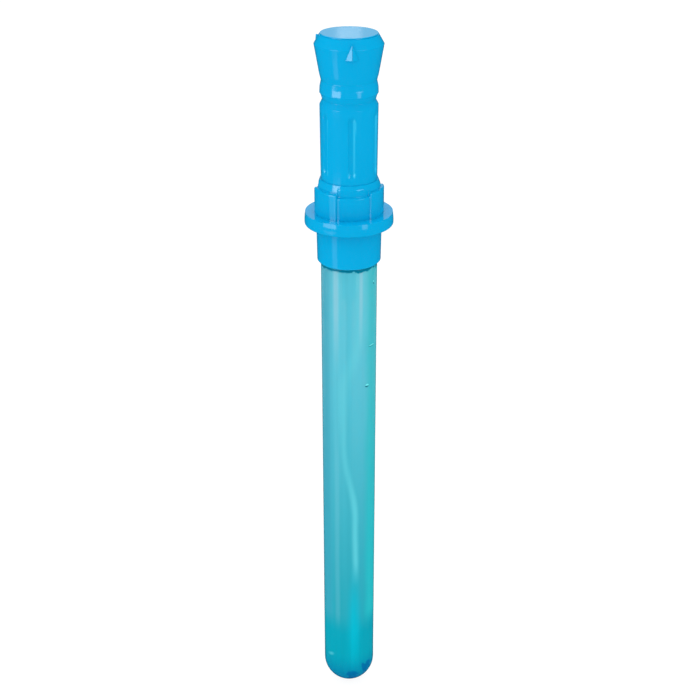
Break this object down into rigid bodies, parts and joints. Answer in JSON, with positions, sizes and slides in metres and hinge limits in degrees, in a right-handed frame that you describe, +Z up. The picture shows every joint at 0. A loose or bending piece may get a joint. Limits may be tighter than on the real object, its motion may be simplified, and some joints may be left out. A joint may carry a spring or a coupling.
{
  "type": "bubble wand",
  "caption": "Tall round-bottomed tube for bubble solution, with a screw-on sword-style handle that carries a ladder of ribbed loops inside it.",
  "frame": {"origin": "pole of the tube's round bottom, on the tube's axis", "axes": "+Z up the tube towards the pommel; +X and +Y across it, with the loops open along X"},
  "size_m": [0.0436, 0.0436, 0.373],
  "materials": {
    "tube": "thin see-through plastic, smooth and glossy",
    "washer": "soft foamed liner, matt",
    "stick": "moulded, glossy",
    "handle": "moulded, glossy"
  },
  "bodies": {
    "tube": {"solution_tube": "tube"},
    "seal": {"sealing_washer": "washer"},
    "wand": {"loop_stick": "stick"},
    "handle": {"screw_cap": "handle", "handle_grip": "handle", "pommel_cap": "handle"}
  },
  "joints": [
    {"name": "pull_out", "type": "slide", "parent": "tube", "child": "seal", "axis": [0, 0, 1], "range_m": [0, 0.26]},
    {"name": "thread_rise", "type": "slide", "parent": "seal", "child": "wand", "axis": [0, 0, 1], "range_m": [0, 0.00601]},
    {"name": "unscrew", "type": "hinge", "parent": "wand", "child": "handle", "pos_m": [0, 0, 0.2835], "axis": [0, 0, 1], "range_deg": [0, 540]}
  ],
  "couplings": [
    {"joint": "thread_rise", "follows": "unscrew", "m_per_rad": 0.00063662}
  ]
}
